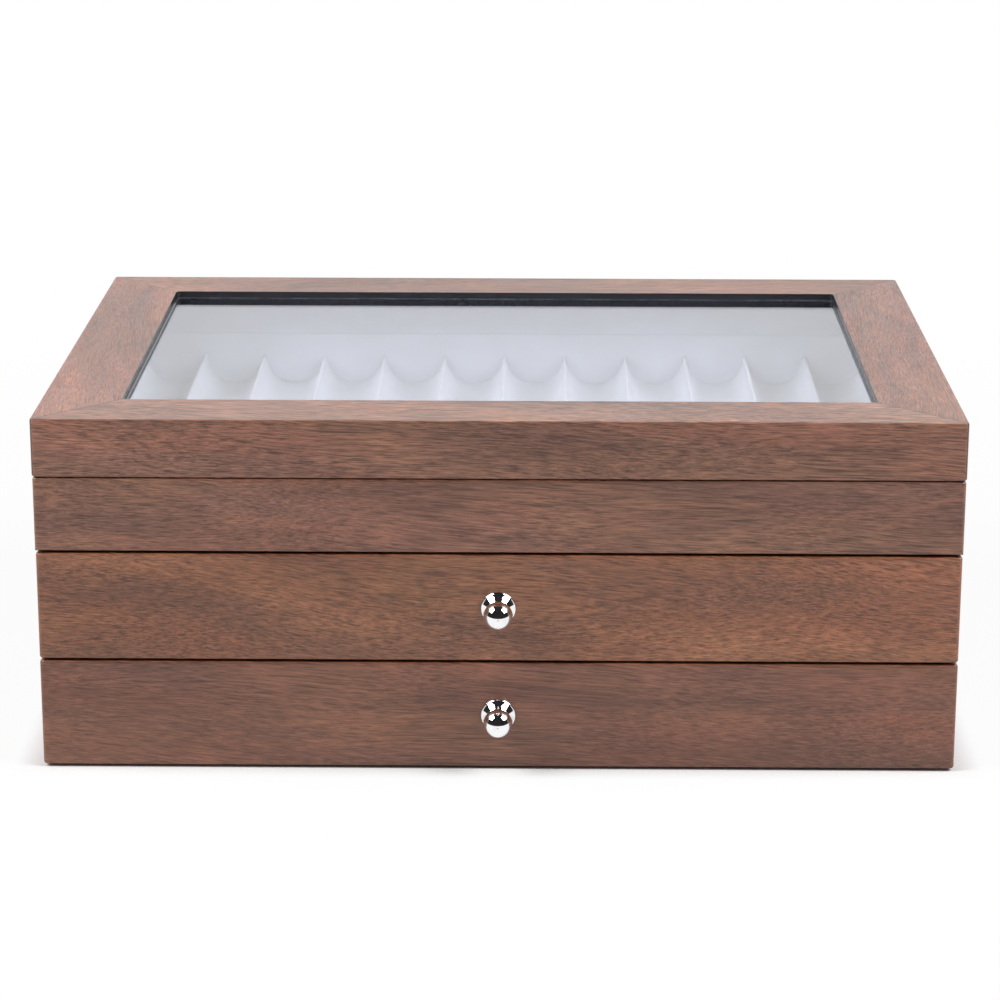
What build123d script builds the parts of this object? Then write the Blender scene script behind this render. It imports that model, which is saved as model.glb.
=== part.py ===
from build123d import *
import os

# A walnut chest for a pen collection: a glazed, hinged lid over a slotted compartment,
# and two slotted drawers below it. Millimetres, +Z up, +X to the right and the front
# towards -Y. The origin is the centre of the felt under the chest, on the table.

# ---------------------------------------------------------------- driving dimensions
# outside of the chest
lid_width = 340.0
lid_depth = 247.0
case_inset = 0.15            # the case is this much smaller than the lid, all round
front_inset = 0.2            # drawer fronts are this much shorter than the case, per end
rail_height = 27.7           # fixed rail of the case, above the drawer fronts
drawer_front_height = 40.7
front_gap = 0.9              # between the rail and the drawer fronts
drawer_count = 2

# boards of the case
case_wall = 12.0
base_thickness = 3.0
divider_thickness = 4.0
deck_thickness = 3.0
groove_depth = 3.0           # how deep panels are housed in the boards that carry them
felt_thickness = 1.0
felt_inset = 3.0

# lid
lid_gap = 0.3                # between the case's rim and the closed lid
lip_clearance = 0.3          # between the case's walls and the lid's linings inside them
lid_skirt_height = 14.4
frame_width = 30.0           # mitred border round the window
frame_thickness = 7.4
lip_thickness = 3.0          # wood over the edge of the glass
rabbet_width = 5.0
glass_thickness = 2.0
glass_edge_clearance = 0.5
opening_corner_radius = 2.0

# velvet-covered boards and trays
lining_thickness = 2.0
lining_setback = 0.2         # of a lining's edge from what it ends at
lining_lip = 1.1             # how far the lid's linings reach down into the case
ridge_width = 1.2            # between two pen slots
ridge_edge_radius = 0.5
tray_floor = 2.5             # under the deepest line of a slot
top_slot_count = 12
drawer_slot_count = 10

# drawer boxes
front_thickness = 12.0
drawer_side_thickness = 9.0
drawer_side_clearance = 0.8
drawer_top_clearance = 1.8
drawer_rear_clearance = 1.5
drawer_bottom_thickness = 3.0
drawer_bottom_recess = 1.5   # of the bottom panel above the lower edge of the sides

# knobs and the screws that hold them
knob_flange_radius = 6.35
knob_flange_thickness = 0.6
knob_cone_radius = 5.9
knob_cone_sag = 0.15         # how far the cone's middle lies inside a straight cone
knob_neck_radius = 2.7
knob_neck_start = 4.0        # distances from the drawer front
knob_ball_centre = 9.0
knob_ball_radius = 5.35
knob_screw_radius = 2.0
knob_screw_reach = 7.0       # into the knob
knob_thread_clearance = 0.05
knob_hole_clearance = 0.2
screw_head_radius = 3.9
screw_head_thickness = 2.0
screw_head_clearance = 0.3
screw_slot_width = 1.0
screw_slot_depth = 0.9

# butt hinges with a heel that stops the lid
hinge_width = 38.0
hinge_end_distance = 60.0    # from a hinge's middle to the lid's nearer end
hinge_leaf_depth = 10.0
hinge_leaf_thickness = 1.2
knuckle_count = 5
knuckle_radius = 2.25
knuckle_end_gap = 0.15
knuckle_wall_clearance = 0.2
hinge_pin_radius = 1.0
hinge_pin_clearance = 0.05
heel_reach = 5.5             # from the pin's axis to the heel's edge
heel_clearance = 0.4         # between a heel and the other leaf's knuckles
heel_thickness = 1.2
lid_stop_angle = 95.0
heel_stop_play = 1.5         # degrees left between the heels when the lid is fully open
hinge_screw_spacing = 24.0
hinge_screw_radius = 1.25
hinge_screw_head_radius = 2.3
hinge_screw_length = 9.0

# rounded edges
corner_radius = 1.5
top_edge_radius = 0.7
seam_edge_radius = 0.9
bottom_edge_radius = 0.8

# ---------------------------------------------------------------- levels and places
case_width = lid_width - 2 * case_inset
case_depth = lid_depth - 2 * case_inset
case_inner_width = case_width - 2 * case_wall
case_front_y = -case_depth / 2
case_rear_y = case_depth / 2
front_back_y = case_front_y + front_thickness

case_low_z = felt_thickness
base_top_z = case_low_z + base_thickness
drawer_pitch = drawer_front_height + front_gap
bay_height = drawer_pitch - divider_thickness
deck_low_z = base_top_z + drawer_count * drawer_pitch - divider_thickness
deck_top_z = deck_low_z + deck_thickness
rail_low_z = case_low_z + drawer_count * drawer_pitch
rim_z = rail_low_z + rail_height

lid_wall = case_inset + case_wall + lip_clearance
lid_low_z = rim_z + lid_gap
frame_low_z = lid_low_z + lid_skirt_height
lid_top_z = frame_low_z + frame_thickness
glass_top_z = lid_top_z - lip_thickness
glass_low_z = glass_top_z - glass_thickness
lid_lining_low_z = rim_z - lining_lip

hinge_spacing = lid_width - 2 * hinge_end_distance
hinge_axis_y = case_rear_y + knuckle_radius + knuckle_wall_clearance
hinge_axis_z = rim_z + lid_gap / 2


# ---------------------------------------------------------------- shapes used often
def block(x_low, x_high, y_low, y_high, z_low, z_high):
    """A box between two opposite corners."""
    box = Box(x_high - x_low, y_high - y_low, z_high - z_low, align=(Align.MIN,) * 3)
    return Pos(x_low, y_low, z_low) * box


def centred_block(width, depth, z_low, z_high):
    """A box centred on the chest, seen from above."""
    return block(-width / 2, width / 2, -depth / 2, depth / 2, z_low, z_high)


def rod(radius, y_start, y_end):
    """A cylinder along Y on the line x = 0, z = 0."""
    cylinder = Cylinder(radius, y_end - y_start, align=(Align.CENTER, Align.CENTER, Align.MIN))
    return Pos(0, y_start, 0) * Rot(-90, 0, 0) * cylinder


def cross_rod(radius, x_start, x_end):
    """A cylinder along X on the line y = 0, z = 0."""
    cylinder = Cylinder(radius, x_end - x_start, align=(Align.CENTER, Align.CENTER, Align.MIN))
    return Pos(x_start, 0, 0) * Rot(0, 90, 0) * cylinder


def rounded_block(width, depth, z_low, z_high, top_radius, low_radius):
    """A centred box with rounded upright corners, and rounded rims where a radius is given."""
    shape = centred_block(width, depth, z_low, z_high)
    shape = fillet(shape.edges().filter_by(Axis.Z), corner_radius)
    if top_radius:
        shape = fillet(shape.faces().sort_by(Axis.Z)[-1].edges(), top_radius)
    if low_radius:
        shape = fillet(shape.faces().sort_by(Axis.Z)[0].edges(), low_radius)
    return shape


def cut_at_mitres(ring, width, depth, wall, z_low, z_high):
    """The four boards of a ring, parted at 45 degrees in its corners."""
    reach = wall + 1
    x_out, y_out = width / 2 + 1, depth / 2 + 1
    x_in, y_in = width / 2 - reach, depth / 2 - reach
    outlines = {
        "front": [(-x_out, -y_out), (x_out, -y_out), (x_in, -y_in), (-x_in, -y_in)],
        "rear": [(-x_in, y_in), (x_in, y_in), (x_out, y_out), (-x_out, y_out)],
        "left": [(-x_out, -y_out), (-x_in, -y_in), (-x_in, y_in), (-x_out, y_out)],
        "right": [(x_in, -y_in), (x_out, -y_out), (x_out, y_out), (x_in, y_in)],
    }
    boards = {}
    for side, outline in outlines.items():
        wedge = extrude(Plane.XY.offset(z_low) * Polygon(*outline, align=None), z_high - z_low)
        boards[side] = ring & wedge
    return boards


def lining_boards(width, y_low, y_high, z_low, z_high):
    """Velvet-covered boards on the four walls of a space; the side ones fit between the others."""
    half, inner = width / 2, width / 2 - lining_thickness
    y_front, y_rear = y_low + lining_thickness, y_high - lining_thickness
    return {
        "front": block(-half, half, y_low, y_front, z_low, z_high),
        "rear": block(-half, half, y_rear, y_high, z_low, z_high),
        "left": block(-half, -inner, y_front, y_rear, z_low, z_high),
        "right": block(inner, half, y_front, y_rear, z_low, z_high),
    }


def slot_centres(width, count):
    """The middle of each pen slot across a tray."""
    pitch = width / count
    return [(index + 0.5) * pitch - width / 2 for index in range(count)]


def slot_radius(width, count):
    """Radius of the half-round slots that leave the ridges between them."""
    return (width / count - ridge_width) / 2


def slotted_tray(width, y_low, y_high, z_low, count):
    """A tray of half-round pen slots that run from front to back."""
    radius = slot_radius(width, count)
    top_z = z_low + tray_floor + radius
    tray = block(-width / 2, width / 2, y_low, y_high, z_low, top_z)
    for x in slot_centres(width, count):
        tray -= Pos(x, 0, top_z) * rod(radius, y_low, y_high)
    ridge_edges = tray.edges().filter_by(Axis.Y).group_by(Axis.Z)[-1]
    inner_edges = [edge for edge in ridge_edges if abs(edge.center().X) < width / 2 - 0.01]
    return fillet(inner_edges, min(ridge_edge_radius, 0.45 * ridge_width))


# ---------------------------------------------------------------- hinges
knuckle_pitch = hinge_width / knuckle_count
case_knuckles = range(0, knuckle_count, 2)
lid_knuckles = range(1, knuckle_count, 2)
leaf_inset = knuckle_radius + knuckle_wall_clearance     # from the axis to the chest's back
heel_angle = (lid_stop_angle + heel_stop_play) / 2


def hinge_leaf(knuckles):
    """The upper leaf of a hinge closed about the X axis; the lower one is its mirror image."""
    half = hinge_width / 2
    low, high = lid_gap / 2, lid_gap / 2 + hinge_leaf_thickness
    heel_start = knuckle_radius + heel_clearance
    leaf = block(-half, half, -leaf_inset - hinge_leaf_depth, -leaf_inset, low, high)
    leaf += Rot(heel_angle, 0, 0) * block(-half, half, heel_start, heel_reach, 0, heel_thickness)
    for index in knuckles:
        x_start = -half + index * knuckle_pitch + knuckle_end_gap / 2
        x_end = x_start + knuckle_pitch - knuckle_end_gap
        leaf += block(x_start, x_end, -leaf_inset, 0, low, high)
        leaf += cross_rod(knuckle_radius, x_start, x_end)
        leaf += Rot(heel_angle, 0, 0) * block(x_start, x_end, 0, heel_start, 0, heel_thickness)
    return leaf - cross_rod(hinge_pin_radius + hinge_pin_clearance, -half, half)


def countersunk_screw():
    """A wood screw with its flat head at z = 0 and its point down."""
    head_height = hinge_leaf_thickness
    head = Pos(0, 0, -head_height / 2) * Cone(hinge_screw_radius, hinge_screw_head_radius,
                                              head_height)
    tip_height = hinge_screw_radius * 2
    shank_length = hinge_screw_length - head_height - tip_height
    shank = Pos(0, 0, -head_height - shank_length / 2) * Cylinder(hinge_screw_radius,
                                                                  shank_length)
    tip = Pos(0, 0, -hinge_screw_length + tip_height / 2) * Cone(0.2, hinge_screw_radius,
                                                                 tip_height)
    slot = block(-hinge_screw_head_radius, hinge_screw_head_radius, -0.25, 0.25, -0.5, 0)
    return head + shank + tip - slot


def hinge_screws(direction):
    """The two screws of a leaf: direction 1 is the lid's, pointing up, and -1 the case's."""
    y = -leaf_inset - hinge_leaf_depth / 2
    turn = Rot(180, 0, 0) if direction > 0 else Rot(0, 0, 0)
    level = direction * lid_gap / 2
    return [Pos(x, y, level) * turn * countersunk_screw()
            for x in (-hinge_screw_spacing / 2, hinge_screw_spacing / 2)]


def build_hinges():
    """Both hinges: their leaves and pins as nodes, and their screws as two groups."""
    nodes = {}
    case_screws, lid_screws = [], []
    lid_leaf = hinge_leaf(lid_knuckles)
    case_leaf = mirror(hinge_leaf(case_knuckles), Plane.XY)
    for screw in hinge_screws(1):
        lid_leaf -= screw
    for screw in hinge_screws(-1):
        case_leaf -= screw
    half = hinge_width / 2
    for side, x in (("left", -hinge_spacing / 2), ("right", hinge_spacing / 2)):
        place = Pos(x, hinge_axis_y, hinge_axis_z)
        nodes[f"{side}_hinge_lid_leaf"] = place * lid_leaf
        nodes[f"{side}_hinge_case_leaf"] = place * case_leaf
        nodes[f"{side}_hinge_pin"] = place * cross_rod(hinge_pin_radius, -half, half)
        lid_screws += [place * screw for screw in hinge_screws(1)]
        case_screws += [place * screw for screw in hinge_screws(-1)]
    nodes["lid_hinge_screws"] = Compound(children=lid_screws)
    nodes["case_hinge_screws"] = Compound(children=case_screws)
    return nodes


def cut_hinge_seats(board, nodes, owner):
    """Sink the leaves and screws of the case or the lid into the board that carries them."""
    half = hinge_width / 2
    z_low, z_high = (rim_z - hinge_leaf_thickness, rim_z + lid_gap)
    if owner == "lid":
        z_low, z_high = (rim_z, lid_low_z + hinge_leaf_thickness)
    for x in (-hinge_spacing / 2, hinge_spacing / 2):
        board -= block(x - half, x + half, case_rear_y - hinge_leaf_depth, lid_depth / 2 + 1,
                       z_low, z_high)
    for screw in nodes[f"{owner}_hinge_screws"].solids():
        board -= screw
    return board


# ---------------------------------------------------------------- case
def build_case(hinges):
    """The fixed case: mitred boards, panels housed in them, linings and the top tray."""
    height = (case_low_z, rim_z)
    outside = rounded_block(case_width, case_depth, *height, seam_edge_radius,
                            bottom_edge_radius)
    inner_depth = case_depth - 2 * case_wall
    ring = outside - centred_block(case_inner_width, inner_depth, *height)
    boards = cut_at_mitres(ring, case_width, case_depth, case_wall, *height)

    half = case_inner_width / 2 + groove_depth
    y_rear = case_rear_y - case_wall + groove_depth
    divider_low_z = base_top_z + bay_height
    panels = {
        "base_panel": block(-half, half, front_back_y, y_rear, case_low_z, base_top_z),
        "drawer_divider": block(-half, half, front_back_y, y_rear, divider_low_z,
                                divider_low_z + divider_thickness),
        "compartment_deck": block(-half, half, front_back_y, y_rear, deck_low_z, deck_top_z),
    }
    drawer_fronts = block(-case_width, case_width, 2 * case_front_y, front_back_y, 0, rail_low_z)
    for side in boards:
        boards[side] -= drawer_fronts
        for panel in panels.values():
            boards[side] -= panel
    rail_edge = boards["front"].edges().filter_by(Axis.X).group_by(Axis.Z)[0].sort_by(Axis.Y)[0]
    boards["front"] = fillet(rail_edge, seam_edge_radius)

    nodes = {
        "case_front_rail": boards["front"],
        "case_left_side": boards["left"],
        "case_right_side": boards["right"],
        "case_back": cut_hinge_seats(boards["rear"], hinges, "case"),
        **panels,
    }
    felt_half = case_width / 2 - felt_inset
    nodes["base_felt"] = block(-felt_half, felt_half, front_back_y + felt_inset,
                               case_rear_y - felt_inset, 0, felt_thickness)
    linings = lining_boards(case_inner_width, -inner_depth / 2, inner_depth / 2, deck_top_z,
                            lid_lining_low_z - lining_setback)
    for side, board in linings.items():
        nodes[f"case_lining_{side}"] = board
    tray_half_depth = inner_depth / 2 - lining_thickness
    nodes["top_tray"] = slotted_tray(case_inner_width - 2 * lining_thickness, -tray_half_depth,
                                     tray_half_depth, deck_top_z, top_slot_count)
    return nodes


# ---------------------------------------------------------------- lid
def build_lid(hinges):
    """The lid: mitred skirt boards under a mitred frame that holds the glass."""
    skirt_height = (lid_low_z, frame_low_z)
    inner_width, inner_depth = lid_width - 2 * lid_wall, lid_depth - 2 * lid_wall
    skirt = rounded_block(lid_width, lid_depth, *skirt_height, 0, seam_edge_radius)
    skirt -= centred_block(inner_width, inner_depth, *skirt_height)
    skirts = cut_at_mitres(skirt, lid_width, lid_depth, lid_wall, *skirt_height)
    skirts["rear"] = cut_hinge_seats(skirts["rear"], hinges, "lid")

    frame_height = (frame_low_z, lid_top_z)
    opening_width, opening_depth = lid_width - 2 * frame_width, lid_depth - 2 * frame_width
    opening = centred_block(opening_width, opening_depth, *frame_height)
    opening = fillet(opening.edges().filter_by(Axis.Z), opening_corner_radius)
    rabbet = centred_block(opening_width + 2 * rabbet_width, opening_depth + 2 * rabbet_width,
                           frame_low_z, glass_top_z)
    frame = rounded_block(lid_width, lid_depth, *frame_height, top_edge_radius, 0)
    frames = cut_at_mitres(frame - opening - rabbet, lid_width, lid_depth, frame_width,
                           *frame_height)

    glass_margin = 2 * (rabbet_width - glass_edge_clearance)
    glass = centred_block(opening_width + glass_margin, opening_depth + glass_margin,
                          glass_low_z, glass_top_z)
    bead_size = (opening_width + 2 * rabbet_width, opening_depth + 2 * rabbet_width)
    bead_ring = centred_block(*bead_size, frame_low_z, glass_low_z) - opening
    beads = cut_at_mitres(bead_ring, *bead_size, rabbet_width, frame_low_z, glass_low_z)
    linings = lining_boards(inner_width, -inner_depth / 2, inner_depth / 2,
                            lid_lining_low_z, frame_low_z)

    nodes = {"lid_glass": glass, "glass_beads": Compound(children=list(beads.values()))}
    for side in frames:
        nodes[f"lid_{side}_skirt"] = skirts[side]
        nodes[f"lid_{side}_frame"] = frames[side]
        nodes[f"lid_lining_{side}"] = linings[side]
    return nodes


# ---------------------------------------------------------------- drawers
def turned_knob():
    """A knob turned about Y, with its flange on y = 0 and its ball towards -Y."""
    ball_meets_neck = knob_ball_centre - (knob_ball_radius**2 - knob_neck_radius**2) ** 0.5
    tip = knob_ball_centre + knob_ball_radius
    edge = knob_flange_thickness / 2
    rim = Line((knob_flange_radius - edge, 0), (0, 0))
    flange = ThreePointArc((knob_flange_radius - edge, 0), (knob_flange_radius, edge),
                           (knob_flange_radius - edge, knob_flange_thickness))
    shoulder = Line((knob_flange_radius - edge, knob_flange_thickness),
                    (knob_cone_radius, knob_flange_thickness))
    cone = ThreePointArc((knob_cone_radius, knob_flange_thickness),
                         ((knob_cone_radius + knob_neck_radius) / 2 - knob_cone_sag,
                          (knob_flange_thickness + knob_neck_start) / 2),
                         (knob_neck_radius, knob_neck_start))
    neck = Line((knob_neck_radius, knob_neck_start), (knob_neck_radius, ball_meets_neck))
    ball = ThreePointArc((knob_neck_radius, ball_meets_neck),
                         (knob_ball_radius, knob_ball_centre), (0, tip))
    core = Line((0, tip), (0, 0))
    profile = make_face([rim, flange, shoulder, cone, neck, ball, core])
    knob = revolve(profile, Axis.Y)
    knob = Rot(180, 0, 0) * knob
    return knob - rod(knob_screw_radius + knob_thread_clearance, -knob_screw_reach - 1, 0)


def knob_screw():
    """The screw through a drawer front into its knob, with its head at the back."""
    head_low = front_thickness - screw_head_thickness - screw_head_clearance
    head = rod(screw_head_radius, head_low, head_low + screw_head_thickness)
    shank = rod(knob_screw_radius, -knob_screw_reach, head_low)
    slot = block(-screw_head_radius, screw_head_radius,
                 head_low + screw_head_thickness - screw_slot_depth,
                 head_low + screw_head_thickness, -screw_slot_width / 2, screw_slot_width / 2)
    return head + shank - slot


def knob_screw_hole():
    """What the screw and its sunk head need clear in a drawer front."""
    head_low = front_thickness - screw_head_thickness - screw_head_clearance
    shank = rod(knob_screw_radius + knob_hole_clearance, 0, head_low)
    return shank + rod(screw_head_radius + screw_head_clearance, head_low, front_thickness)


def build_drawer(prefix, level):
    """One drawer: an overlaid front, a box housed in it, linings, a slotted tray and a knob."""
    front_low_z = case_low_z + level * drawer_pitch
    box_low_z = front_low_z + base_thickness
    box_top_z = box_low_z + bay_height - drawer_top_clearance
    outer = case_inner_width / 2 - drawer_side_clearance
    inner = outer - drawer_side_thickness
    rear_y = case_rear_y - case_wall - drawer_rear_clearance
    back_front_y = rear_y - drawer_side_thickness
    bottom_low_z = box_low_z + drawer_bottom_recess
    bottom_top_z = bottom_low_z + drawer_bottom_thickness
    housed = front_back_y - groove_depth

    front_half = case_width / 2 - front_inset
    front = block(-front_half, front_half, case_front_y, front_back_y, front_low_z,
                  front_low_z + drawer_front_height)
    front = fillet(front.edges().filter_by(Axis.Z).group_by(Axis.Y)[0], corner_radius)
    front = fillet(front.faces().sort_by(Axis.Y)[0].edges().filter_by(Axis.X),
                   seam_edge_radius)

    left = block(-outer, -inner, housed, rear_y, box_low_z, box_top_z)
    right = block(inner, outer, housed, rear_y, box_low_z, box_top_z)
    back = block(-inner - groove_depth, inner + groove_depth, back_front_y, rear_y, box_low_z,
                 box_top_z)
    bottom = block(-inner - groove_depth, inner + groove_depth, housed,
                   back_front_y + groove_depth, bottom_low_z, bottom_top_z)
    knob_place = Pos(0, case_front_y, front_low_z + drawer_front_height / 2)

    back -= bottom
    left -= back + bottom
    right -= back + bottom
    front -= left + right + bottom
    front -= knob_place * knob_screw_hole()

    nodes = {
        f"{prefix}_drawer_front": front,
        f"{prefix}_drawer_left_side": left,
        f"{prefix}_drawer_right_side": right,
        f"{prefix}_drawer_back": back,
        f"{prefix}_drawer_bottom": bottom,
        f"{prefix}_drawer_knob": knob_place * turned_knob(),
        f"{prefix}_drawer_knob_screw": knob_place * knob_screw(),
    }
    linings = lining_boards(2 * inner, front_back_y, back_front_y, bottom_top_z,
                            box_top_z - lining_setback)
    for side, board in linings.items():
        nodes[f"{prefix}_drawer_lining_{side}"] = board
    nodes[f"{prefix}_drawer_tray"] = slotted_tray(
        2 * (inner - lining_thickness), front_back_y + lining_thickness,
        back_front_y - lining_thickness, bottom_top_z, drawer_slot_count)
    return nodes


# ---------------------------------------------------------------- the whole chest
def build_chest():
    """Every piece of the chest, by name."""
    hinges = build_hinges()
    pieces = {**hinges, **build_case(hinges), **build_lid(hinges)}
    for level, prefix in enumerate(("lower", "upper")):
        pieces.update(build_drawer(prefix, level))
    return pieces


os.makedirs("parts", exist_ok=True)
for name, piece in build_chest().items():
    export_step(piece, f"parts/{name}.step")
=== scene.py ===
import math
import bmesh
import bpy
from mathutils import Matrix, Vector


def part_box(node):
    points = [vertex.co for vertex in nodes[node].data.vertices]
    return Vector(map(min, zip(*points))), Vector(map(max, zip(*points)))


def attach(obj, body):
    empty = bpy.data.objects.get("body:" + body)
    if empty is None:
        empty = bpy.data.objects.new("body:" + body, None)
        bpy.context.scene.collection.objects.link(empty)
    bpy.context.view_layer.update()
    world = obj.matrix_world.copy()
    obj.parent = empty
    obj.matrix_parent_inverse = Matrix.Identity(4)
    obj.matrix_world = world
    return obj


# The looks of a walnut chest for a pen collection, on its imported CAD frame. Metres,
# +Z up, +X to the right, the front towards -Y, and the origin under the chest.

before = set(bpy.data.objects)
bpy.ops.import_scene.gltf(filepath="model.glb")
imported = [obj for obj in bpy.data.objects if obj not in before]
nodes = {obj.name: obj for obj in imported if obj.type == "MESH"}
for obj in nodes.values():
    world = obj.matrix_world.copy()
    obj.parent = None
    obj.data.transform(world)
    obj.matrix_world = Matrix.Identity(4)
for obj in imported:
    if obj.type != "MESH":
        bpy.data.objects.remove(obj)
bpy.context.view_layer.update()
mm = 0.001

# ---------------------------------------------------------------- places from the frame
case_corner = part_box("case_left_side")[0]       # front, left and bottom
lid_half_width = -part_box("lid_left_frame")[0].x
lid_half_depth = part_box("lid_rear_frame")[1].y
glass_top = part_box("lid_glass")[1].z
bead_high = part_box("glass_beads")[1]
rabbet_width = 5 * mm            # of the step in the frame that holds the glass
rabbet_half_width = bead_high.x
rabbet_half_depth = bead_high.y
opening_half_width = rabbet_half_width - rabbet_width
opening_half_depth = rabbet_half_depth - rabbet_width
opening_corner_radius = 2 * mm
mitre_run = lid_half_width - lid_half_depth     # |x| - |y| on every mitre of the lid

# ---------------------------------------------------------------- camera
photo_side = 1000                # pixels of the photograph, each way
focal_pixels = 3178.0
camera_place = Vector((12.17, -1234.06, 424.34)) * mm
camera_pitch, camera_yaw, camera_roll = 16.068, -0.601, 0.112   # degrees

# ---------------------------------------------------------------- light and stage
softbox_side = 0.65              # of the two square lamps
softbox_distance = 1.25
softbox_watts = 12.0
softbox_height_angle = 46.0      # degrees above the table
softbox_front_angle = 20.0       # degrees that they stand to the front of the chest
ambient_strength = 0.2
table_front = -0.81              # the near edge of the white table
table_reach = 4.0
table_colour = (0.80, 0.80, 0.80, 1)
table_speck = (0.79, 0.79, 0.79, 1)
shadow_reach = 12 * mm           # from the chest, over which its shadow fades
glow_near, glow_far = 0.90, 1.0  # share of plain white in the table, there and farther off
glow_far_distance = 0.5
room_half_width = 2.6            # of the dim studio that shows in gloss
room_front = -2.4
room_rear = 0.9
room_low = -0.6
room_height = 2.6
# the studio cloth, darker and lighter as painted shade of its folds
cloth_dark = (0.07, 0.06, 0.06, 1)
cloth_light = (0.11, 0.10, 0.10, 1)


def srgb(red, green, blue):
    """A colour of 0 to 255 per channel, as Blender's sockets take it."""
    def linear(value):
        share = value / 255
        return share / 12.92 if share <= 0.04045 else ((share + 0.055) / 1.055) ** 2.4
    return (linear(red), linear(green), linear(blue), 1)


# ---------------------------------------------------------------- node trees
class Tree:
    """A node tree, emptied, and short ways to add to it."""

    def __init__(self, tree):
        self.tree = tree
        tree.nodes.clear()

    def add(self, kind, **settings):
        node = self.tree.nodes.new(kind)
        for name, value in settings.items():
            setattr(node, name, value)
        return node

    def link(self, source, target):
        self.tree.links.new(source, target)

    def put(self, target, value):
        """Gives an input a socket's output, or a plain value."""
        if isinstance(value, bpy.types.NodeSocket):
            self.link(value, target)
        else:
            target.default_value = value

    def math(self, operation, first, second=0.0, third=0.0):
        node = self.add("ShaderNodeMath", operation=operation)
        for target, value in zip(node.inputs, (first, second, third)):
            self.put(target, value)
        return node.outputs[0]

    def mix_shader(self, factor, first, second):
        node = self.add("ShaderNodeMixShader")
        for target, source in zip(node.inputs, (factor, first, second)):
            self.link(source, target)
        return node.outputs[0]


class Material(Tree):
    """The node tree of one material, with a Principled shader."""

    def __init__(self, name):
        self.material = bpy.data.materials.new(name)
        self.material.use_nodes = True
        super().__init__(self.material.node_tree)
        self.shader = self.add("ShaderNodeBsdfPrincipled")
        self.output = self.add("ShaderNodeOutputMaterial")
        self.surface(self.shader.outputs[0])
        self.coordinates = self.add("ShaderNodeTexCoord")
        self.place = self.coordinates.outputs["Object"]

    def surface(self, source):
        self.link(source, self.output.inputs["Surface"])

    def set(self, **values):
        """Inputs of the shader, with _ for a space in their names."""
        for name, value in values.items():
            self.put(self.shader.inputs[name.replace("_", " ")], value)

    def vector_math(self, operation, first, second):
        node = self.add("ShaderNodeVectorMath", operation=operation)
        self.put(node.inputs[0], first)
        self.put(node.inputs[1], second)
        return node.outputs[0]

    def split(self, vector):
        node = self.add("ShaderNodeSeparateXYZ")
        self.put(node.inputs[0], vector)
        return node.outputs

    def join(self, x, y, z):
        node = self.add("ShaderNodeCombineXYZ")
        for target, value in zip(node.inputs, (x, y, z)):
            self.put(target, value)
        return node.outputs[0]

    def noise(self, place, sizes, detail=2.0, roughness=0.5, distortion=0.0):
        """A noise node whose patches are about this long in metres, each way."""
        node = self.add("ShaderNodeTexNoise", noise_dimensions="3D")
        self.link(self.vector_math("DIVIDE", place, sizes), node.inputs["Vector"])
        for name, value in (("Scale", 1.0), ("Detail", detail), ("Roughness", roughness),
                            ("Distortion", distortion)):
            node.inputs[name].default_value = value
        return node

    def patches(self, place, sizes, **settings):
        """The value of such a noise, mostly from 0.3 to 0.7."""
        return self.noise(place, sizes, **settings).outputs[0]

    def ramp(self, factor, low, high, bottom=0.0, top=1.0, smooth=True):
        """factor from low to high, as bottom to top."""
        node = self.add("ShaderNodeMapRange", clamp=True,
                        interpolation_type="SMOOTHSTEP" if smooth else "LINEAR")
        for target, value in zip(node.inputs, (factor, low, high, bottom, top)):
            self.put(target, value)
        return node.outputs[0]

    def swing(self, value, depth, low=0.3, high=0.7):
        """1 give or take this depth, as value goes from low to high."""
        return self.ramp(value, low, high, 1 - depth, 1 + depth, smooth=False)

    def grey(self, share):
        return self.join(share, share, share)

    def mix(self, factor, first, second, blend="MIX"):
        node = self.add("ShaderNodeMix", data_type="RGBA", blend_type=blend)
        self.put(node.inputs[0], factor)
        self.put(node.inputs[6], first)
        self.put(node.inputs[7], second)
        return node.outputs[2]

    def times(self, colour, share):
        """A colour times another one."""
        return self.mix(1.0, colour, share, blend="MULTIPLY")

    def bump(self, height, distance, strength):
        node = self.add("ShaderNodeBump")
        node.inputs["Distance"].default_value = distance
        node.inputs["Strength"].default_value = strength
        self.link(height, node.inputs["Height"])
        self.link(node.outputs[0], self.shader.inputs["Normal"])


def grain(length, width):
    """Size of a noise's patches, in millimetres along X and across it."""
    return (length * mm, width * mm, width * mm)


def grit(size):
    """Size of a noise's patches that are this many millimetres each way."""
    return grain(size, size)


# ---------------------------------------------------------------- walnut veneer
wood_red = srgb(139, 92, 74)
wood_olive = srgb(139, 97, 76)
wood_mauve = srgb(120, 83, 70)
wood_smoke = srgb(98, 69, 58)
pore_colour = srgb(52, 30, 24)
fleck_colour = srgb(160, 116, 92)
black_paint = srgb(27, 28, 33)
board_dark, board_light, board_cloud = srgb(72, 49, 40), srgb(96, 68, 55), srgb(62, 44, 38)

# Layers of the wood's figure, from the broadest to the finest
shade_grain = grain(170, 34)
broad_grain = grain(110, 24)
haze_grain = grain(80, 16)
cloud_grain = grain(55, 13)
band_grain = grain(75, 11)
cluster_grain = grain(60, 10)
ring_grain = grain(150, 5)
streak_grain = grain(45, 1.7)
pore_grain = grain(20, 0.5)
hair_grain = grain(15, 0.45)
dash_grain = grain(5, 0.36)
ripple_grain = grain(1.8, 4)     # mottling, which runs across the grain

# How much darker and lighter the layers make the wood
shade_depth, cloud_depth, band_depth = 0.18, 0.08, 0.12
streak_depth, hair_depth = 0.09, 0.62
pore_depth, fleck_depth = 0.46, 0.25
level_contrast = 0.5             # what level faces have more than upright ones

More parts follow.
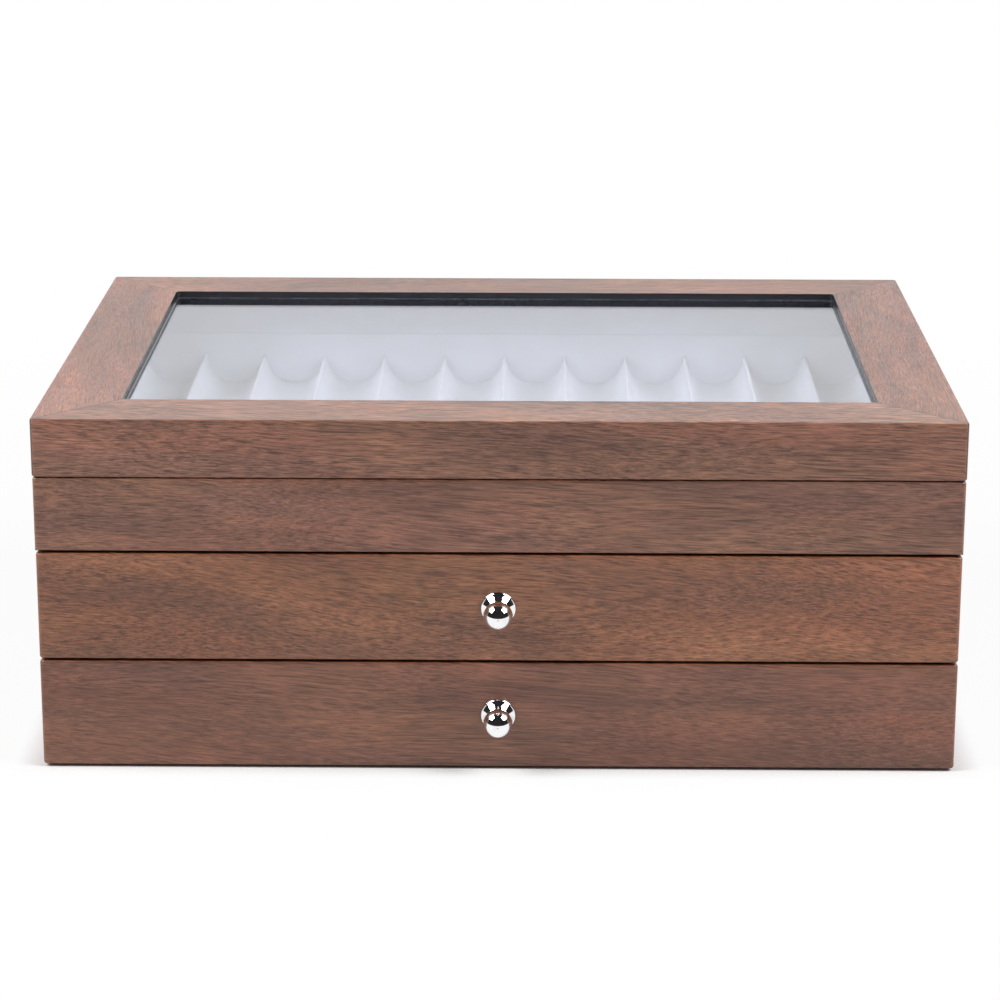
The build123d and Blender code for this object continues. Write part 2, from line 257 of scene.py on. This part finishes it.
# How the leaves are bent and cut
bend_grain = grain(150, 42)
bend_height = 14 * mm
level_normal = 0.7               # the normal's Z from which a face counts as level
level_width_share = 0.5          # by which a level leaf's figure is wider
level_offset = (0.31, 0.17, 0.23)
seed_spread = (1, 1.7, 0.6)      # a board's seed times this is its place in the log

# Mitres of the lid, and the paint round its window
joint_core, joint_edge = 0.2 * mm, 0.65 * mm    # half widths of the line and its blur
joint_strength, rear_joint_share = 0.8, 0.25
paint_margin, paint_depth_margin = 0.03 * mm, 0.02 * mm
paint_gloss = 0.06               # by which paint is less rough than the wood


def grain_space(tree, along, slope, seed):
    """Place on a veneer leaf: X along the grain, bent and sloped as the tree grew, and
    whether the face is level. Level faces are cut from another leaf than upright ones,
    and where the grain runs along X, their figure is wider."""
    x, y, z = tree.split(tree.place)
    length, across = (x, y) if along == "X" else (y, x)
    normal = tree.split(tree.coordinates.outputs["Normal"])
    level = tree.math("GREATER_THAN", tree.math("ABSOLUTE", normal[2]), level_normal)
    if along == "X":
        less = tree.math("MULTIPLY", level, level_width_share)
        across = tree.math("MULTIPLY", across, tree.math("SUBTRACT", 1.0, less))
    leaf = tree.vector_math("ADD", tree.join(length, across, z),
                            tuple(seed * share for share in seed_spread))
    leaf = tree.vector_math("ADD", leaf, tree.vector_math("MULTIPLY", tree.grey(level),
                                                          level_offset))
    bend = tree.noise(leaf, bend_grain, detail=1.0).outputs[1]
    bend = tree.vector_math("SUBTRACT", bend, (0.5, 0.5, 0.5))
    bend = tree.vector_math("MULTIPLY", bend, (0, bend_height, bend_height))
    drift = tree.math("MULTIPLY", length, slope)
    leaf = tree.vector_math("ADD", leaf, tree.join(0.0, drift, drift))
    return tree.vector_math("ADD", leaf, bend), level


def wood_colour(tree, leaf, level, tint, level_tint, smoke):
    """The wood's own colour, before its light and dark lines."""
    broad = tree.patches(leaf, broad_grain)
    haze = tree.patches(leaf, haze_grain, distortion=0.4)
    rings = tree.patches(leaf, ring_grain, detail=3.0, roughness=0.6)
    colour = tree.mix(tree.ramp(broad, 0.34, 0.64), wood_red, wood_olive)
    colour = tree.mix(tree.ramp(haze, 0.40, 0.70, 0.0, 0.8), colour, wood_mauve)
    colour = tree.mix(tree.ramp(rings, 0.52, 0.74, 0.0, smoke), colour, wood_smoke)
    colour = tree.times(colour, (*tint, 1))
    return tree.mix(level, colour, tree.times(colour, (*level_tint, 1)))


def wood_brightness(tree, leaf, level, streaks, coarse, figure):
    """By how much the wood's layers make it lighter or darker, about 1."""
    layers = [
        tree.swing(streaks, streak_depth),
        tree.swing(tree.patches(leaf, hair_grain, roughness=0.7), hair_depth * coarse,
                   0.25, 0.75),
        tree.swing(tree.patches(leaf, band_grain), band_depth),
        tree.swing(tree.patches(leaf, shade_grain, detail=1.0), shade_depth),
        tree.swing(tree.patches(leaf, cloud_grain, detail=1.0, distortion=0.8), cloud_depth),
    ]
    if figure:
        ripple = tree.patches(leaf, ripple_grain)
        layers.append(tree.ramp(ripple, 0.3, 0.7, 1 - 0.2 * figure, 1 + 0.18 * figure))
    share = layers[0]
    for layer in layers[1:]:
        share = tree.math("MULTIPLY", share, layer)
    contrast = tree.math("ADD", 1.0, tree.math("MULTIPLY", level, level_contrast))
    return tree.math("POWER", share, contrast)


def veneer(name, along="X", slope=0.06, seed=0.0, tint=(1, 1, 1), smoke=0.5, coarse=1.0,
           figure=0.0, mitred=False, level_tint=(1, 1, 1)):
    """Walnut veneer under satin lacquer. Smoke, from 0 to 1, is the strength of its dark
    rings, coarse that of its fine lines, figure, from 0 to 1, that of the mottling across
    the grain, and level_tint the further tint of the leaf on its level faces."""
    tree = Material(name)
    leaf, level = grain_space(tree, along, slope, seed)
    colour = wood_colour(tree, leaf, level, tint, level_tint, smoke)
    streaks = tree.patches(leaf, streak_grain, detail=3.0, roughness=0.6)
    share = wood_brightness(tree, leaf, level, streaks, coarse, figure)
    colour = tree.times(colour, tree.grey(share))

    pores = tree.patches(leaf, pore_grain, detail=1.0)
    dashes = tree.patches(leaf, dash_grain, detail=1.0)
    clusters = tree.ramp(tree.patches(leaf, cluster_grain), 0.36, 0.6, 0.6, 1.0)
    lines = tree.math("MAXIMUM", tree.ramp(pores, 0.585, 0.645), tree.ramp(dashes, 0.62, 0.69))
    dark = tree.math("MULTIPLY", lines, clusters)
    light = tree.math("MULTIPLY", tree.ramp(pores, 0.40, 0.34), clusters)
    colour = tree.mix(tree.math("MULTIPLY", dark, pore_depth * coarse), colour, pore_colour)
    colour = tree.mix(tree.math("MULTIPLY", light, fleck_depth * coarse), colour, fleck_colour)

    roughness = tree.ramp(streaks, 0.3, 0.7, 0.33, 0.42)
    if mitred:
        colour, roughness = mitre_and_window(tree, colour, roughness)
    tree.set(Base_Color=colour, Roughness=roughness, IOR=1.5, Coat_Weight=0.25,
             Coat_Roughness=0.22)
    tree.bump(tree.math("MULTIPLY", dark, -1.0), 0.06 * mm, 0.5)
    return tree.material


def mitre_and_window(tree, colour, roughness):
    """A dark joint line on the mitres, fainter at the rear where they are tighter, and
    black paint on the edges round the glass."""
    place = tree.split(tree.place)
    across, along, up = (tree.math("ABSOLUTE", part) for part in place)
    run = tree.math("SUBTRACT", across, along)
    off = tree.math("ABSOLUTE", tree.math("SUBTRACT", run, mitre_run))
    joint = tree.ramp(off, joint_core, joint_edge, joint_strength, 0.0)
    tight = tree.ramp(place[1], 0.0, opening_half_depth, 1.0, rear_joint_share)
    colour = tree.mix(tree.math("MULTIPLY", joint, tight), colour, pore_colour)

    def inside(half_width, half_depth):
        return tree.math("MULTIPLY", tree.math("LESS_THAN", across, half_width + paint_margin),
                         tree.math("LESS_THAN", along, half_depth + paint_margin))
    lip = inside(opening_half_width, opening_half_depth)
    below_glass = tree.math("LESS_THAN", up, glass_top + paint_depth_margin)
    rabbet = tree.math("MULTIPLY", inside(rabbet_half_width, rabbet_half_depth), below_glass)
    painted = tree.math("MAXIMUM", lip, rabbet)
    smoother = tree.math("MULTIPLY", painted, -paint_gloss)
    return tree.mix(painted, colour, black_paint), tree.math("ADD", smoother, roughness)


def lacquered_board():
    """Thin board under brown lacquer, with a faint grain: drawer boxes and panels."""
    tree = Material("lacquered_board")
    lines = tree.patches(tree.place, grain(40, 1.1), detail=3.0)
    cloud = tree.patches(tree.place, grain(60, 40))
    colour = tree.mix(tree.ramp(lines, 0.3, 0.7), board_dark, board_light)
    colour = tree.mix(tree.ramp(cloud, 0.4, 0.7, 0.0, 0.35), colour, board_cloud)
    tree.set(Base_Color=colour, Roughness=tree.ramp(lines, 0.3, 0.7, 0.38, 0.5), IOR=1.5)
    tree.bump(lines, 0.05 * mm, 0.35)
    return tree.material


# ---------------------------------------------------------------- soft surfaces
# The trays' velvet is darker than the linings' as painted shade, and lighter on the slots'
# steep walls as painted sheen
tray_painted_shade, tray_painted_sheen = srgb(149, 151, 164), srgb(169, 171, 185)
# The lid's linings are the same velvet, darker as painted shade
lining_tone, lid_painted_shade = srgb(173, 177, 194), srgb(166, 170, 189)
pile_sheen = srgb(236, 238, 246)
felt_dark, felt_light = srgb(30, 26, 25), srgb(56, 48, 45)


def velvet(name, tone, sheen_on_walls, seed=0.0):
    """Short, dense pile: patches where it leans another way, and the tips of its tufts. The
    steep walls of a slot take the second tone; where it is lighter, as in the trays, that is
    painted sheen."""
    tree = Material(name)
    place = tree.vector_math("ADD", tree.place, (seed, seed, seed))
    lean = tree.patches(place, grain(22, 16), distortion=0.6)
    tufts = tree.patches(place, grit(0.45))
    normal = tree.split(tree.coordinates.outputs["Normal"])
    # painted sheen: the steep walls of a slot take a lighter tone than its floor
    steep = tree.ramp(tree.math("ABSOLUTE", normal[0]), 0.45, 0.95)
    share = tree.math("MULTIPLY", tree.ramp(lean, 0.36, 0.66, 0.95, 1.04),
                      tree.ramp(tufts, 0.3, 0.7, 0.92, 1.06))
    colour = tree.times(tree.mix(steep, tone, sheen_on_walls), tree.grey(share))
    tree.set(Base_Color=colour, Roughness=0.92, Specular_IOR_Level=0.2, Sheen_Weight=0.15,
             Sheen_Roughness=0.45, Sheen_Tint=pile_sheen)
    tree.bump(tufts, 0.12 * mm, 0.6)
    return tree.material


def felt():
    """Dark wool felt: matted fibres."""
    tree = Material("felt")
    fibres = tree.patches(tree.place, grain(1.4, 0.5), detail=4.0, distortion=1.2)
    tree.set(Base_Color=tree.mix(tree.ramp(fibres, 0.32, 0.68), felt_dark, felt_light),
             Roughness=0.97, Specular_IOR_Level=0.15, Sheen_Weight=0.3, Sheen_Roughness=0.6)
    tree.bump(fibres, 0.2 * mm, 0.7)
    return tree.material


# ---------------------------------------------------------------- hard surfaces
chrome_bright, chrome_worn = (0.93, 0.93, 0.94, 1), (0.86, 0.86, 0.88, 1)
nickel_bright, nickel_worn = (0.74, 0.71, 0.66, 1), (0.60, 0.57, 0.52, 1)
bead_shine = srgb(34, 34, 38)
pane_tint = (0.95, 0.965, 0.98, 1)
pane_shadow = 0.9                # share of the lamps' light that the pane lets through
# greys of the seal, lighter than the black paint: partly a painted highlight
silicone_dark, silicone_light = srgb(66, 68, 76), srgb(92, 95, 104)


def metal(name, bright, worn, roughness, brushing=0.0):
    """Plated metal, with the faint clouds of a polish, and fine lines where it is brushed."""
    tree = Material(name)
    clouds = tree.patches(tree.place, grit(3), detail=3.0)
    lines = tree.patches(tree.place, grain(6, 0.12))
    share = tree.math("ADD", tree.math("MULTIPLY", clouds, 1 - brushing),
                      tree.math("MULTIPLY", lines, brushing))
    tree.set(Base_Color=tree.mix(tree.ramp(share, 0.4, 0.7), bright, worn), Metallic=1.0,
             Roughness=tree.ramp(share, 0.35, 0.7, roughness * 0.75, roughness * 1.35))
    if brushing:
        tree.bump(lines, 0.01 * mm, brushing)
    return tree.material


def black_bead():
    """Black lacquer on the thin beads that hold the glass, with lighter patches on its orange
    peel as painted shine.
    """
    tree = Material("black_bead")
    orange_peel_and_shine = tree.patches(tree.place, grit(1.2))
    # lighter patches of painted shine on the orange peel
    tree.set(Base_Color=tree.mix(tree.ramp(orange_peel_and_shine, 0.3, 0.7), black_paint, bead_shine),
             Roughness=tree.ramp(orange_peel_and_shine, 0.3, 0.7, 0.26, 0.36), IOR=1.5)
    tree.bump(orange_peel_and_shine, 0.03 * mm, 0.3)
    return tree.material


def pane_glass():
    """Clear glass, with hardly any smears. The lamps' light goes straight through it."""
    tree = Material("glass")
    smear = tree.patches(tree.place, grain(45, 30), detail=3.0)
    tree.set(Base_Color=pane_tint, Transmission_Weight=1.0, IOR=1.5,
             Roughness=tree.ramp(smear, 0.45, 0.75, 0.0, 0.006))
    clear = tree.add("ShaderNodeBsdfTransparent")
    red, green, blue, _ = pane_tint
    clear.inputs[0].default_value = (red * pane_shadow, green * pane_shadow,
                                     blue * pane_shadow, 1)
    shadow_ray = tree.add("ShaderNodeLightPath").outputs["Is Shadow Ray"]
    tree.surface(tree.mix_shader(shadow_ray, tree.shader.outputs[0], clear.outputs[0]))
    return tree.material


def silicone():
    """Clear sealant, a little cloudy, with the black paint behind it. Its grey, lighter than
    that paint, is partly a painted highlight.
    """
    tree = Material("silicone")
    ripples = tree.patches(tree.place, (4 * mm, 4 * mm, 1 * mm))
    colour = tree.mix(tree.ramp(ripples, 0.3, 0.7), silicone_dark, silicone_light)
    tree.set(Base_Color=colour, Roughness=0.16, IOR=1.41, Transmission_Weight=0.2)
    tree.bump(ripples, 0.1 * mm, 0.5)
    return tree.material


# ---------------------------------------------------------------- dressing the nodes
def paint(material, *names):
    """Gives these CAD nodes one material."""
    for name in names:
        for slot in nodes[name].material_slots:
            slot.material = material


def paint_boards():
    """Veneer of the boards that show, each from its own part of the log."""
    lid_x = dict(along="X", mitred=True, level_tint=(0.97, 0.94, 0.89))
    lid_y = dict(along="Y", mitred=True, figure=0.15, level_tint=(0.97, 0.92, 0.89))
    paint(veneer("walnut_lid_front", seed=0.11, slope=0.05, smoke=0.45, coarse=1.15,
                 tint=(1.05, 1.06, 1.07), **lid_x), "lid_front_frame", "lid_front_skirt")
    paint(veneer("walnut_lid_rear", seed=1.93, slope=-0.04, tint=(1.08, 1.01, 0.96),
                 coarse=0.8, **lid_x), "lid_rear_frame", "lid_rear_skirt")
    paint(veneer("walnut_lid_left", seed=2.37, slope=0.08, coarse=0.8,
                 tint=(0.95, 0.88, 0.87), **lid_y), "lid_left_frame", "lid_left_skirt")
    paint(veneer("walnut_lid_right", seed=3.05, slope=-0.07, tint=(0.90, 0.84, 0.84),
                 **lid_y), "lid_right_frame", "lid_right_skirt")
    paint(veneer("walnut_rail", seed=4.4, slope=0.05, tint=(0.98, 0.98, 0.98)),
          "case_front_rail")
    paint(veneer("walnut_left_side", along="Y", seed=5.2), "case_left_side")
    paint(veneer("walnut_right_side", along="Y", seed=6.1, slope=-0.05), "case_right_side")
    paint(veneer("walnut_back", seed=7.7, slope=0.03), "case_back")
    paint(veneer("walnut_upper_front", seed=8.15, slope=0.09, smoke=0.3, coarse=1.1,
                 tint=(1.08, 0.95, 0.75)), "upper_drawer_front")
    paint(veneer("walnut_lower_front", seed=9.6, slope=0.06, smoke=0.5, coarse=0.85,
                 tint=(0.83, 0.73, 0.68)), "lower_drawer_front")


def drawer_nodes(*parts):
    """The names of these parts, in both drawers."""
    return [f"{drawer}_drawer_{part}" for drawer in ("lower", "upper") for part in parts]


sides_of_lining = ("front", "rear", "left", "right")


def paint_interior():
    """Velvet, plain boards and felt."""
    # the trays: painted shade, and painted sheen on the slots' steep walls
    trays = velvet("tray_velvet_painted_shade_and_sheen", tray_painted_shade, tray_painted_sheen)
    linings = velvet("velvet_linings", lining_tone, lining_tone, seed=0.4)
    # the lid's linings: a darker tone than the case's, as painted shade
    shaded_lid_velvet = velvet("lid_velvet_painted_shade", lid_painted_shade, lid_painted_shade, seed=0.9)
    paint(trays, "top_tray", *drawer_nodes("tray"))
    paint(linings, *(f"case_lining_{side}" for side in sides_of_lining),
          *drawer_nodes(*(f"lining_{side}" for side in sides_of_lining)))
    paint(shaded_lid_velvet, *(f"lid_lining_{side}" for side in sides_of_lining))
    paint(lacquered_board(), "compartment_deck", "drawer_divider", "base_panel",
          *drawer_nodes("left_side", "right_side", "back", "bottom"))
    paint(felt(), "base_felt")


def paint_hardware():
    """Knobs, hinges, screws, glass and its beads."""
    chrome = metal("chrome", chrome_bright, chrome_worn, roughness=0.035)
    nickel = metal("hinge_metal", nickel_bright, nickel_worn, roughness=0.24, brushing=0.6)
    paint(chrome, *drawer_nodes("knob"))
    paint(nickel, "lid_hinge_screws", "case_hinge_screws", *drawer_nodes("knob_screw"),
          *(f"{end}_hinge_{part}" for end in ("left", "right")
            for part in ("lid_leaf", "case_leaf", "pin")))
    paint(black_bead(), "glass_beads")
    paint(pane_glass(), "lid_glass")


# ---------------------------------------------------------------- seal round the glass
seal_width, seal_width_left = 0.12 * mm, 0.9 * mm
seal_rise = 0.4 * mm
seal_gap = 0.01 * mm             # between the seal and what it lies against
seal_steps = 4                   # across its hollow face
seal_hollow = 1.2
corner_steps = 6


def rounded_loop(x_low, x_high, y_low, y_high, radius):
    """Points of a rectangle with rounded corners, seen from above, anticlockwise."""
    centres = ((x_high - radius, y_high - radius), (x_low + radius, y_high - radius),
               (x_low + radius, y_low + radius), (x_high - radius, y_low + radius))
    points = []
    for quarter, centre in enumerate(centres):
        for step in range(corner_steps + 1):
            angle = math.radians(90 * (quarter + step / corner_steps))
            points.append(Vector(centre) + radius * Vector((math.cos(angle), math.sin(angle))))
    return points


def glass_seal():
    """A thin run of clear silicone in the corner between the glass and the frame's edge, wider
    along the left side, where its light grey makes a bright line of painted highlight."""
    w, d = opening_half_width - seal_gap, opening_half_depth - seal_gap
    radius = opening_corner_radius
    mesh = bmesh.new()

    def ring(share, height, corner):
        """The seal's outline at this share of its width, from the frame's edge inwards."""
        inward = seal_width * share
        loop = rounded_loop(-w + seal_width_left * share, w - inward, -d + inward, d - inward,
                            corner - inward)
        return [mesh.verts.new((*point, glass_top + seal_gap + height)) for point in loop]
    rings = []
    for step in range(seal_steps + 1):
        share = step / seal_steps
        height = seal_rise * (1 - math.sin(share * math.pi / 2)) ** seal_hollow
        rings.append(ring(share, height, radius - seal_gap))
    rings.append(ring(0.0, 0.0, radius))
    for inner, outer in zip(rings, rings[1:] + rings[:1]):
        for i in range(len(inner)):
            j = (i + 1) % len(inner)
            mesh.faces.new((inner[i], inner[j], outer[j], outer[i]))
    bmesh.ops.recalc_face_normals(mesh, faces=mesh.faces)
    seal = new_object("glass_seal", mesh, smooth=True)
    seal.data.materials.append(silicone())
    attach(seal, "lid")


def new_object(name, mesh, smooth=False):
    """An object from a bmesh, in the row frame."""
    data = bpy.data.meshes.new(name)
    mesh.to_mesh(data)
    mesh.free()
    for face in data.polygons:
        face.use_smooth = smooth
    made = bpy.data.objects.new(name, data)
    bpy.context.scene.collection.objects.link(made)
    return made


# ---------------------------------------------------------------- stage
def quad(name, corners, material):
    """A flat stage piece between four corners."""
    mesh = bmesh.new()
    mesh.faces.new([mesh.verts.new(corner) for corner in corners])
    made = new_object(name, mesh)
    made.data.materials.append(material)
    return made


def table_material():
    """A white table top. At the chest's foot the chest's shadow lies on it at its full
    depth, and away from there it is seen as nearly white."""
    tree = Material("table")
    speckle = tree.patches(tree.place, grit(30))
    tree.set(Base_Color=tree.mix(tree.ramp(speckle, 0.3, 0.7), table_colour, table_speck),
             Roughness=0.9, Specular_IOR_Level=0.1)
    across, along, _ = (tree.math("ABSOLUTE", part) for part in tree.split(tree.place))
    distance = tree.math("MAXIMUM", tree.math("SUBTRACT", across, -case_corner.x),
                         tree.math("SUBTRACT", along, -case_corner.y))
    near = tree.ramp(distance, 0.0, shadow_reach, 0.0, glow_near)
    far = tree.ramp(distance, shadow_reach, glow_far_distance, 0.0, glow_far - glow_near)
    white = tree.add("ShaderNodeEmission").outputs[0]
    lit = tree.shader.outputs[0]
    shadowed = tree.mix_shader(tree.math("ADD", near, far), lit, white)
    tree.surface(tree.mix_shader(seen_directly(tree), lit, shadowed))
    return tree.material


def seen_directly(tree):
    """1 for rays from the camera, off gloss and through glass, and 0 for all others."""
    path = tree.add("ShaderNodeLightPath").outputs
    shiny = tree.math("MAXIMUM", path["Is Glossy Ray"], path["Is Transmission Ray"])
    return tree.math("MAXIMUM", path["Is Camera Ray"], shiny)


def dark_cloth():
    """The dim studio round the table, which shows only in gloss, with the painted shade of
    large folds on its flat walls.
    """
    tree = Material("dark_cloth")
    painted_fold_shade = tree.patches(tree.place, grit(500))
    tree.set(Base_Color=tree.mix(painted_fold_shade, cloth_dark, cloth_light), Roughness=1.0,
             Specular_IOR_Level=0.0)
    return tree.material


def build_stage():
    """The table, and the walls of the dim studio."""
    quad("table_top", ((-table_reach, table_front, 0), (table_reach, table_front, 0),
                       (table_reach, table_reach, 0), (-table_reach, table_reach, 0)),
         table_material())
    w, front, rear, low, top = room_half_width, room_front, room_rear, room_low, room_height
    walls = {
        "studio_front": ((-w, front, low), (w, front, low), (w, front, top), (-w, front, top)),
        "studio_ceiling": ((-w, front, top), (w, front, top), (w, rear, top), (-w, rear, top)),
        "studio_left": ((-w, front, low), (-w, 0, low), (-w, 0, top), (-w, front, top)),
        "studio_right": ((w, front, low), (w, 0, low), (w, 0, top), (w, front, top)),
    }
    cloth = dark_cloth()
    for name, corners in walls.items():
        wall = quad(name, corners, cloth)
        wall.visible_camera = wall.visible_diffuse = wall.visible_shadow = False
        wall.visible_transmission = False


def build_world():
    """White where it is seen, and a plain soft light on everything else."""
    world = bpy.data.worlds.new("studio")
    bpy.context.scene.world = world
    world.use_nodes = True
    tree = Tree(world.node_tree)
    output = tree.add("ShaderNodeOutputWorld")
    soft, white = (tree.add("ShaderNodeBackground") for _ in range(2))
    for node, strength in ((soft, ambient_strength), (white, 1.0)):
        node.inputs["Color"].default_value = (1, 1, 1, 1)
        node.inputs["Strength"].default_value = strength
    choice = tree.mix_shader(seen_directly(tree), soft.outputs[0], white.outputs[0])
    tree.link(choice, output.inputs["Surface"])


def softbox(name, side):
    """A square lamp to one side, high and a little to the front, turned to the chest."""
    lamp = bpy.data.lights.new(name, "AREA")
    lamp.shape = "SQUARE"
    lamp.size = softbox_side
    lamp.energy = softbox_watts
    height, front = math.radians(softbox_height_angle), math.radians(softbox_front_angle)
    away = Vector((side * math.cos(height) * math.cos(front),
                   -math.cos(height) * math.sin(front), math.sin(height)))
    made = bpy.data.objects.new(name, lamp)
    bpy.context.scene.collection.objects.link(made)
    made.location = away * softbox_distance
    made.rotation_euler = away.to_track_quat("Z", "Y").to_euler()
    made.visible_camera = False


def build_camera():
    """The photograph's camera, solved from the chest's edges."""
    pitch, yaw, roll = (math.radians(a) for a in (camera_pitch, camera_yaw, camera_roll))
    forward = Vector((math.sin(yaw) * math.cos(pitch), math.cos(yaw) * math.cos(pitch),
                      -math.sin(pitch)))
    level = Vector((math.cos(yaw), -math.sin(yaw), 0))
    upright = level.cross(forward)
    right = level * math.cos(roll) + upright * math.sin(roll)
    up = upright * math.cos(roll) - level * math.sin(roll)
    data = bpy.data.cameras.new("photo_camera")
    data.lens = focal_pixels * data.sensor_width / photo_side
    data.clip_start = 0.05
    made = bpy.data.objects.new("photo_camera", data)
    bpy.context.scene.collection.objects.link(made)
    turn = Matrix((right, up, -forward)).transposed()
    made.matrix_world = Matrix.Translation(camera_place) @ turn.to_4x4()
    bpy.context.scene.camera = made


# ---------------------------------------------------------------- making
build_camera()
paint_boards()
paint_interior()
paint_hardware()
glass_seal()
build_stage()
build_world()
softbox("softbox_left", -1)
softbox("softbox_right", 1)
bpy.context.scene.view_settings.view_transform = "Standard"
